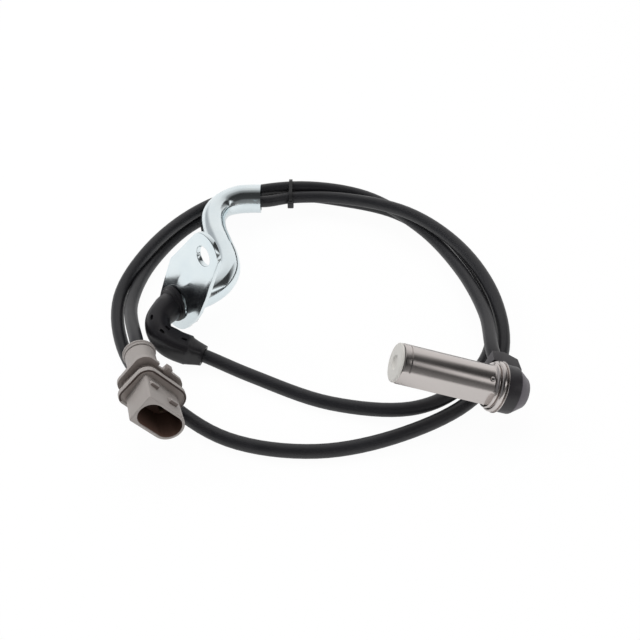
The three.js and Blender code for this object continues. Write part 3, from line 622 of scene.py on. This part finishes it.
def probe_tube():
    """Thin lip, rolled collar, ridge, plain tube with a ring groove, and the rounded tip edge."""
    r = PROBE_RADIUS
    outline = [
        (-1.0, PROBE_BORE), (-1.0, 10.3), (-0.92, 10.45), (-0.79, 10.5), (-0.66, 10.42), (-0.58, 10.2),
        (-0.56, 9.7), (-0.4, 9.86), (-0.15, 10.02), (0.15, 10.14), (0.5, 10.2), (0.9, 10.2), (1.2, 10.12),
        (1.45, 9.94), (1.62, 9.68), (1.76, 9.2), (1.84, 8.75), (1.92, 8.6), (2.03, 8.6), (2.11, 8.75),
        (2.2, 9.02), (2.4, 9.18), (2.7, 9.2), (2.95, 9.1), (3.2, 8.8), (3.38, 8.35), (3.5, 8.12), (3.7, 8.02),
        (3.95, r), (4.0, r), (4.02, r), (5, r), (10, r), (20, r), (30, r),
        (38.42, r), (38.5, 7.94), (38.56, 7.68), (38.7, 7.62), (38.84, 7.68), (38.9, 7.94), (38.98, r),
        (40.9, r), (41.2, 7.95), (41.42, 7.8), (41.56, 7.6), (41.6, 7.35), (41.6, PROBE_BORE),
    ]
    edge = math.acos(FLAT_DISTANCE / r)
    turns = [2 * math.pi * k / PROBE_SIDES for k in range(PROBE_SIDES)]
    turns += [(FLAT_TURN + side * edge) % (2 * math.pi) for side in (-1, 1)]
    tube = lathe("probe_tube", outline, PROBE_SIDES, with_flat, sorted(turns))
    combine(tube, dimple(), "DIFFERENCE")
    return finished(tube, SENSOR, STAINLESS, ["probe_shell"], 28)


def tip_disc():
    """The plug behind the rim, a low dome, and the moulding recess in its middle."""
    outline = [
        (36.0, 0), (36.0, 5.85), (41.85, 5.85), (41.85, 7.7), (42.0, 7.78), (42.3, 7.8), (42.55, 7.74),
        (42.75, 7.58), (42.84, 7.3), (42.9, 7.05), (42.92, 6.6), (42.96, 5.5), (42.99, 4.2), (43.0, 3.3),
        (42.96, 3.0), (42.8, 2.75), (42.5, 2.55), (42.3, 2.3), (42.22, 1.8), (42.3, 1.3), (42.42, 0.9),
        (42.3, 0.6), (42.24, 0),
    ]
    return finished(lathe("tip_disc", outline, 96), SENSOR, CAP_PLASTIC, ["tip_cap"], 32)


def head_painted_light(centre, normal):
    """Painted light: the cone's faces are painted paler than the band, as light falls on them, and the boss's
    outer faces are painted between the two.
    """
    if centre.x < -6.8 and centre.y > -9.4 and normal.x < -0.3:
        return CONE_PAINTED_LIGHT
    return BOSS_PAINTED_LIGHT if centre.y < -9.7 else PLAIN


def head():
    """Cone, band, and the spigot with its seal groove; the boss that the lead leaves through."""
    outline = [
        (-12.2, 0), (-12.2, 5.3), (-12.15, 5.65), (-12.02, 5.95), (-11.8, 6.2), (-7.2, 9.36), (-7.0, 9.47),
        (-6.75, 9.56), (-6.5, 9.6), (-1.5, 9.6), (-1.38, 9.55), (-1.27, 9.4), (-1.25, 9.2), (-1.25, 5.85),
        (2.0, 5.85), (2.0, 4.5), (4.2, 4.5), (4.2, 5.85), (9.0, 5.85), (9.0, 0),
    ]
    core = lathe("head_core", outline, 96)
    boss_outline = [(-9.0, 0), (-10.2, -7.5), (-9.5, -13.0), (-4.0, -15.3), (1.6, -14.5), (1.6, -6.0),
                    (-2.5, -6.0), (-2.5, 0)]
    boss = prism("boss", boss_outline, -BOSS_HALF_WIDTH, BOSS_HALF_WIDTH)
    rim_room = lathe("rim_room", [(-1.3, 0), (-1.3, RIM_ROOM), (3, RIM_ROOM), (3, 0)], 96)
    combine(boss, rim_room, "DIFFERENCE")
    bevelled(boss, 0.9, 4, 40)
    combine(core, boss, "UNION")
    outlet = lathe("outlet", [(11.8, 0), (11.8, OUTLET_RADIUS), (26, OUTLET_RADIUS), (26, 0)], 48)
    outlet.data.transform(Matrix.Translation((OUTLET_AT - math.tan(OUTLET_LEAN) * OUTLET_PIVOT, 0, 0))
                          @ Matrix.Rotation(OUTLET_LEAN - math.pi / 2, 4, "Z"))
    combine(core, outlet, "DIFFERENCE")
    return finished(paint_light_and_tint(core, head_painted_light), SENSOR, HEAD_BLACK, ["head_moulding"], 30)


# Guide bracket
def tube_stations():
    """Centres, radii and bores of the guide tube, from its flared mouth to the lug."""
    line = curve_points([(x, y, TUBE_HEIGHT) for x, y in TUBE_ROUTE], TUBE_STEPS)
    done, stations = 0.0, []
    for i, centre in enumerate(line):
        done += (centre - line[i - 1]).length if i else 0.0
        fade = min(1.0, max(0.0, (done - FLARE_WHOLE) / FLARE_FADE))
        flare = TUBE_FLARE * (1 - fade * fade * (3 - 2 * fade))
        if above_plate(centre) < TUBE_STOP or i < STEPS_FAR_FROM_LUG:
            stations.append((centre, TUBE_RADIUS + flare, TUBE_BORE_RADIUS + flare))
    return zip(*stations)


tube_line, tube_radii, tube_bores = tube_stations()


def guide_tube():
    tube = sweep("guide_tube", tube_line, tube_radii, TUBE_SIDES, tube_bores)
    return finished(tube, None, ZINC, ["bracket_tube"], 35)


def weld_bead():
    """A rippled fillet between the tube and the back of the lug."""
    forward = (tube_line[-1] - tube_line[-2]).normalized()
    line = [tube_line[-1] + forward * along for along, _ in WELD_STATIONS]
    bead = sweep("weld", line, [r for _, r in WELD_STATIONS], TUBE_SIDES, [WELD_BORE] * len(line))
    for v in bead.data.vertices:
        turn = math.atan2(v.co.z - TUBE_HEIGHT, (v.co - line[2]).dot(WELD_SIDE))
        v.co += (v.co - line[3]).normalized() * (WELD_RIPPLE * math.sin(WELD_RIPPLES * turn))
    return bead


def bracket_lug():
    outline = [(-8.6, 7.4), (-5.2, 19.2), (-4.9, 20.2), (-4.3, 21.3), (-3.0, 22.8), (10.2, 40.5)]
    outline += arc(17.0, 34.2, 9.3, 136, 1, 28)
    outline += [(24.0, 27.0), (21.2, 16.3), (16.9, 4.0), (13.6, -2.4)]
    outline += arc(-0.3, -0.1, 12.3, -28.6, -159.3, 28)
    lug = prism("lug", outline, -PLATE_HALF_THICK, PLATE_HALF_THICK)
    hole = prism("hole", arc(*BOLT_HOLE_AT, BOLT_HOLE_RADIUS, 0, 360, 64)[:-1], -5, 5)
    combine(lug, hole, "DIFFERENCE")
    bevelled(lug, 0.28, 3, 40)
    lug.data.transform(PLATE)
    plate = joined("bracket_lug", [lug, weld_bead()])
    return finished(plate, None, ZINC, ["bracket_plate"], 30)


# Elbow over the lead
ELBOW_LINE = curve_points(ROUTE, STEPS_PER_POINT)
ELBOW_LINE = ELBOW_LINE[PLATE_POINT * STEPS_PER_POINT:ELBOW_END_POINT * STEPS_PER_POINT + 1]


def elbow_radius(step):
    """Wide at the collar, then an even bore cover."""
    spans = step / STEPS_PER_POINT
    if spans <= 1:
        return ELBOW_ROOT
    return ELBOW_ROOT - (ELBOW_ROOT - ELBOW_RADIUS) * math.sin(min(spans - 1, 1) * math.pi / 2)


def elbow_section(step, turn):
    """Round by the lug, squarer towards the end, where the upper side steps down and the tip tapers."""
    spans = step / STEPS_PER_POINT
    square = min(1.0, max(0.0, (spans - SQUARE_FROM) / 0.8))
    power = 2 + 1.6 * square
    size = (abs(math.cos(turn + 0.5)) ** power + abs(math.sin(turn + 0.5)) ** power) ** (-1 / power)
    if spans > TIP_FROM:
        taper = min(1.0, spans - TIP_FROM)
        upper = max(0.0, math.cos(turn))
        size = 1 + (size - 1) * (1 - 0.6 * taper)
        size *= 0.98 - 0.2 * taper - 0.1 * upper**0.5
    return size


def elbow_slots(steps):
    """The cutters of the moulded slots."""
    at, turned = [], []
    for step, (centre, along, side, other) in zip(steps, across_path(ELBOW_LINE, steps[0])):
        for turn in (math.radians(a) for a in ELBOW_SLOTS.get(step, ())):
            out = side * math.cos(turn) + other * math.sin(turn)
            at.append(centre + out * (elbow_radius(step) - SLOT_SINK))
            turned.append(Matrix((along, out.cross(along), out)).transposed().to_euler())
    return grown("slots", at, [], slot_row_tree(), turned=turned, values={
        "Length": SLOT_LENGTH, "Width": SLOT_WIDTH, "Depth": SLOT_REACH, "Material": ELBOW_RUBBER})


def elbow():
    steps = [i for i, p in enumerate(ELBOW_LINE) if above_plate(p) > ELBOW_START]
    body = sweep("elbow_body", [ELBOW_LINE[i] for i in steps], [elbow_radius(i) for i in steps], ELBOW_SIDES,
                 [ELBOW_BORE] * len(steps), lambda i, turn: elbow_section(steps[i], turn))
    combine(body, elbow_slots(steps), "DIFFERENCE")
    collar = lathe("collar", [
        (ELBOW_START, 3.4), (ELBOW_START, 7.85), (1.42, 8.0), (1.7, 8.06), (2.3, 8.0), (2.5, 7.8),
        (2.62, 7.25), (2.8, 7.0), (3.9, 6.9), (4.25, 6.78), (4.45, 6.4), (4.45, 3.4)], 64)
    collar.data.transform(PLATE @ X_TO_Z)
    sleeve = joined("elbow", [body, collar])
    return finished(sleeve, None, ELBOW_RUBBER, ["elbow_sleeve"], 40)


# Tie round the three strands
def strands_at(x):
    """Where the lead's strands beside the guide tube cross a plane."""
    out = []
    for a, b in zip(cable_line, cable_line[1:]):
        if a.y > 60 and (a.x - x) * (b.x - x) <= 0:
            out.append(a.lerp(b, (x - a.x) / (b.x - a.x)))
    return out


def hull(points):
    """The outline of a band pulled tight round points."""
    def half(row):
        out = []
        for p in row:
            while len(out) > 1 and ((out[-1][0] - out[-2][0]) * (p[1] - out[-2][1])
                                    <= (out[-1][1] - out[-2][1]) * (p[0] - out[-2][0])):
                out.pop()
            out.append(p)
        return out

    points = sorted(points)
    return half(points)[:-1] + half(points[::-1])[:-1]


def band(name, strands, radius, half_width):
    ring = hull([(s.y + x, s.z + y) for s in strands for x, y in arc(0, 0, radius, 0, 354, 59)])
    obj = prism(name, ring, -half_width, half_width)
    obj.data.transform(Matrix(((0, 0, 1, TIE_X), (1, 0, 0, 0), (0, 1, 0, 0), (0, 0, 0, 1))))
    return outward(obj)


def tie_strap():
    strands = strands_at(TIE_X)
    inner = CABLE_DIA / 2 + TIE_GAP
    outer = inner + TIE_THICK
    strap = band("tie", strands, outer, TIE_HALF_WIDTH)
    combine(strap, band("tie_room", strands, inner, 3), "DIFFERENCE")
    bevelled(strap, 0.15, 2, 50)
    half_x, half_y, half_z = TIE_BLOCK
    block = prism("tie_block", rectangle(half_x, half_y), -half_z, half_z)
    bevelled(block, 0.4, 3, 40)
    near = min(strands, key=lambda s: s.y)
    block.data.transform(Matrix.Translation((TIE_X, near.y - outer, near.z - TIE_BLOCK_DROP)))
    return finished(joined("tie_strap", [strap, block]), None, TIE_NYLON, ["cable_tie"], 40)


# Connector
def four_corners(corners, steps=10):
    """A closed outline through four round corners."""
    out = []
    signs = ((1, 1), (-1, 1), (-1, -1), (1, -1))
    for k, ((x, y, r), (sx, sy)) in enumerate(zip(corners, signs)):
        out += arc(x - sx * r, y - sy * r, r, 90 * k, 90 * k + 90, steps)
    return out


def inset(corners, step):
    return [(x - math.copysign(step, x), y - math.copysign(step, y), max(r - step, 0.5))
            for x, y, r in corners]


def mouth_cutter(name, floor, rows=1):
    ring = arc(MOUTH_END_AT, 0, MOUTH_HALF_HEIGHT, -90, 90, 20)
    ring += arc(-MOUTH_END_AT, 0, MOUTH_HALF_HEIGHT, 90, 270, 20)
    return prism(name, ring, floor, 5.5, rows)


def connector_body():
    """Half round on the right, square on the left, with draft towards the flange, and the oval mouth."""
    ring = arc(4.5, 0, BODY_HALF_HEIGHT, -90, 90, 24) + arc(-10.9, 5.6, 0.8, 90, 180, 5)
    ring += arc(-9.3, -5.6, 0.8, 180, 270, 5)
    body = prism("housing", ring, BODY_BACK, 0)
    for v in body.data.vertices:
        if v.co.z < BODY_BACK + 1 and v.co.x < -8:
            v.co += Vector((0.4, 0.6, 0)) if v.co.y > 0 else Vector((1.4, 0, 0))
    combine(body, mouth_cutter("mouth", MOUTH_FLOOR, MOUTH_ROWS), "DIFFERENCE")
    return bevelled(body, 0.25, 3, 45)


def front_flange():
    flange = prism("flange", four_corners(FLANGE_CORNERS), FLANGE_BACK, FLANGE_FRONT)
    channel = prism("channel", four_corners(inset(FLANGE_CORNERS, CHANNEL_INSET)), CHANNEL_FLOOR, -10)
    combine(flange, channel, "DIFFERENCE")
    combine(flange, mouth_cutter("mouth_room", MOUTH_FLOOR - 0.1), "DIFFERENCE")
    return bevelled(flange, 0.14, 2, 45)


def rear_flange():
    """With the latch's notch and nub on its upper edge."""
    rear = prism("rear", four_corners(REAR_CORNERS), REAR_BACK, REAR_FRONT)
    notch = prism("notch", [(-5.6, 9.4), (-2.6, 9.4), (-2.6, 14), (-5.6, 14)], -25, -10)
    nub = prism("nub", [(-2.6, 9.0), (0.0, 9.0), (0.0, 11.9), (-2.6, 11.9)], -21.4, -18.6)
    combine(rear, notch, "DIFFERENCE")
    combine(rear, nub, "UNION")
    return bevelled(rear, 0.35, 3, 45)


def neck():
    tube = lathe("neck", [
        (-41.0, 5.1), (-41.0, 5.9), (-40.85, 6.1), (-22.9, 6.1), (-22.2, 6.3), (-21.7, 6.8), (-21.3, 7.4),
        (-20.6, 5.1)], 72)
    tube.data.transform(Matrix.Translation(NECK_SHIFT) @ X_TO_Z)
    return tube


def latch_ramp(x, z):
    """Rises from the rear and drops steeply towards the mouth."""
    ramp = prism("ramp", [(0, 6.1), (0, 7.9), (-0.9, 7.9), (-3.4, 6.1)], -2.0, 2.0)
    ramp.data.transform(Matrix.Translation((x, 0, z)) @ X_TO_Z)
    return bevelled(ramp, 0.25, 3, 40)


def connector_painted_shade(centre, normal):
    """Painted shade: a brown tint in the mouth with painted shade deepening inwards and on walls turned from
    the light, and painted shade in the channel, on the latch ramps' steep faces and behind the flange.
    """
    if abs(centre.z - CHANNEL_FLOOR) < 0.03 and normal.z > 0.9:
        return CHANNEL_PAINTED_SHADE
    off_axis = math.hypot(max(abs(centre.x) - MOUTH_END_AT, 0.0), centre.y)
    if off_axis < MOUTH_HALF_HEIGHT + 0.05 and MOUTH_FLOOR - 0.1 < centre.z < -0.3:
        depth = centre.z / MOUTH_FLOOR
        lit = min(1.0, max(0.0, (normal.y + 0.5) / 0.9))
        return min(1.0, MOUTH_TINT_AND_PAINTED_SHADE + 0.4 * depth + (1 - lit) * (0.24 + 0.2 * depth))
    if centre.y > BODY_HALF_HEIGHT + 0.05 and normal.z > 0.5 and -12 < centre.z < -1:
        return RAMP_PAINTED_SHADE
    return REAR_PAINTED_SHADE if -20.3 < centre.z < -15.6 else PLAIN


def connector_shell():
    parts = [connector_body(), front_flange(), prism("waist", four_corners(WAIST_CORNERS), -20.0, -15.2),
             rear_flange(), neck()] + [latch_ramp(x, z) for x, z in RAMPS_AT]
    shell = paint_light_and_tint(joined("connector_shell", parts), connector_painted_shade)
    return finished(shell, CONNECTOR, CONNECTOR_GREY, ["connector_housing"], 32)


def rear_ring():
    ring = lathe("rear_ring", [
        (-43.5, 3.6), (-43.5, 6.3), (-43.42, 6.6), (-43.2, 6.8), (-42.9, 6.85), (-42.6, 6.82), (-42.4, 6.6),
        (-42.2, 6.45), (-41.4, 6.45), (-41.25, 6.3), (-41.25, 3.6)], 72)
    ring.data.transform(Matrix.Translation(NECK_SHIFT) @ X_TO_Z)
    return finished(ring, CONNECTOR, CONNECTOR_GREY, ["seal_retainer"], 32)


# The object
cable = lead()
probe_tube()
tip_disc()
head()
guide_tube()
bracket_lug()
elbow()
tie = tie_strap()
housing = connector_shell()
retainer = rear_ring()


# Floor
FLOOR_GLOW_SEEN = 0.965
FLOOR_GLOW_REFLECTED = 0.75


def white_floor():
    """A pale floor that takes shadows, and shows near white to the camera and in reflections."""
    material = bpy.data.materials.new("floor_white")
    material.use_nodes = True
    tree = material.node_tree
    paint = tree.nodes["Principled BSDF"]
    paint.inputs["Base Color"].default_value = (0.9, 0.9, 0.9, 1)
    paint.inputs["Roughness"].default_value = 0.9
    rays = add(tree, "ShaderNodeLightPath").outputs
    to_camera = add(tree, "ShaderNodeMath", operation="MULTIPLY", inputs={
        0: rays["Is Camera Ray"], 1: FLOOR_GLOW_SEEN})
    to_gloss = add(tree, "ShaderNodeMath", operation="MULTIPLY", inputs={
        0: rays["Is Glossy Ray"], 1: FLOOR_GLOW_REFLECTED})
    share = add(tree, "ShaderNodeMath", operation="MAXIMUM", inputs={
        0: to_camera.outputs[0], 1: to_gloss.outputs[0]})
    glow = add(tree, "ShaderNodeEmission", {"Strength": 1.0})
    mix = add(tree, "ShaderNodeMixShader", {
        "Fac": share.outputs[0], 1: paint.outputs["BSDF"], 2: glow.outputs["Emission"]})
    tree.links.new(mix.outputs[0], tree.nodes["Material Output"].inputs["Surface"])
    return material


floor = new_object("floor", [(-3, -3, 0), (3, -3, 0), (3, 3, 0), (-3, 3, 0)], [(0, 1, 2, 3)])
floor.data.materials.append(white_floor())


# Surroundings: bright behind and above, dark towards the camera, as a light tent gives
def tones(tree, turn, stops):
    """Levels of grey from the horizon behind the camera (0) over the top to the far horizon (1)."""
    ramp = add(tree, "ShaderNodeValToRGB", {"Fac": turn})
    ramp.color_ramp.interpolation = "EASE"
    elements = ramp.color_ramp.elements
    elements.remove(elements[1])
    for i, (place, level) in enumerate(stops):
        stop = elements.new(place) if i else elements[0]
        stop.position = place
        stop.color = (level, level * 0.99, level * 0.985, 1)
    return ramp.outputs["Color"]


def smooth_step(tree, value, low, high):
    step = add(tree, "ShaderNodeMapRange", {"Value": value, "From Min": low, "From Max": high},
               interpolation_type="SMOOTHSTEP")
    return step.outputs["Result"]


def tent(tree):
    """The light tent's colour in a direction."""
    sky = tree.nodes.new("ShaderNodeTexCoord").outputs["Generated"]
    way = add(tree, "ShaderNodeSeparateXYZ", {0: sky}).outputs
    toward = add(tree, "ShaderNodeMath", {0: way["Y"], 1: -1}, operation="MULTIPLY")
    angle = add(tree, "ShaderNodeMath", {0: way["Z"], 1: toward.outputs[0]}, operation="ARCTAN2")
    turn = add(tree, "ShaderNodeMath", {0: angle.outputs[0], 1: math.pi}, operation="DIVIDE").outputs[0]
    right_side = tones(tree, turn, [
        (0.0, 0.2), (0.04, 0.11), (0.15, 0.1), (0.22, 0.35), (0.27, 1.1), (0.35, 1.1), (0.41, 0.3),
        (0.47, 0.05), (0.71, 0.04), (0.8, 0.3), (0.89, 0.8), (1.0, 1.0)])
    middle = tones(tree, turn, [
        (0.0, 0.26), (0.13, 0.2), (0.22, 0.05), (0.45, 0.035), (0.55, 0.28), (0.66, 0.72), (0.8, 0.95),
        (1.0, 1.0)])
    far_wall = add(tree, "ShaderNodeMix", data_type="RGBA", inputs={
        "Factor": smooth_step(tree, way["X"], 0.585, 0.63), "A": middle, "B": right_side})
    height = add(tree, "ShaderNodeValToRGB", {"Fac": way["Z"]})
    height.color_ramp.interpolation = "EASE"
    elements = height.color_ramp.elements
    for i, (place, level) in enumerate(((0.0, 0.0), (0.1, 0.0), (0.25, 0.75), (0.6, 0.75), (0.75, 0.0))):
        stop = elements[i] if i < 2 else elements.new(place)
        stop.position = place
        stop.color = (level, level, level, 1)
    left_share = add(tree, "ShaderNodeMath", operation="MULTIPLY", inputs={
        0: smooth_step(tree, way["X"], -0.35, -0.6), 1: height.outputs["Color"]})
    grey_left = add(tree, "ShaderNodeMix", data_type="RGBA", inputs={
        "Factor": left_share.outputs[0], "A": far_wall.outputs["Result"], "B": (0.3, 0.31, 0.33, 1)})
    return grey_left.outputs["Result"]


world = bpy.data.worlds.new("studio")
bpy.context.scene.world = world
world.use_nodes = True
world_tree = world.node_tree
studio = world_tree.nodes["Background"]
studio.inputs["Strength"].default_value = 1.0
world_tree.links.new(tent(world_tree), studio.inputs["Color"])
plain = add(world_tree, "ShaderNodeBackground", {"Color": (1, 1, 1, 1), "Strength": 1.0})
seen = add(world_tree, "ShaderNodeMixShader", {
    "Fac": add(world_tree, "ShaderNodeLightPath").outputs["Is Camera Ray"],
    1: studio.outputs[0], 2: plain.outputs[0]})
world_tree.links.new(seen.outputs[0], world_tree.nodes["World Output"].inputs["Surface"])


def softbox(name, place, size, power):
    """A lamp that looks at the object and doesn't show in reflections."""
    lamp = bpy.data.lights.new(name, "AREA")
    lamp.shape = "RECTANGLE"
    lamp.size, lamp.size_y = size
    lamp.energy = power
    obj = bpy.data.objects.new(name, lamp)
    bpy.context.scene.collection.objects.link(obj)
    obj.location = place
    obj.rotation_euler = (-Vector(place)).to_track_quat("-Z", "Y").to_euler()
    obj.visible_glossy = False


softbox("fill_top", (0.0, 0.35, 1.2), (1.2, 1.2), 9.5)
softbox("key_left", (-0.95, 0.35, 0.85), (0.6, 0.6), 7)
softbox("fill_front", (0.15, -0.95, 0.4), (1.0, 0.6), 4)
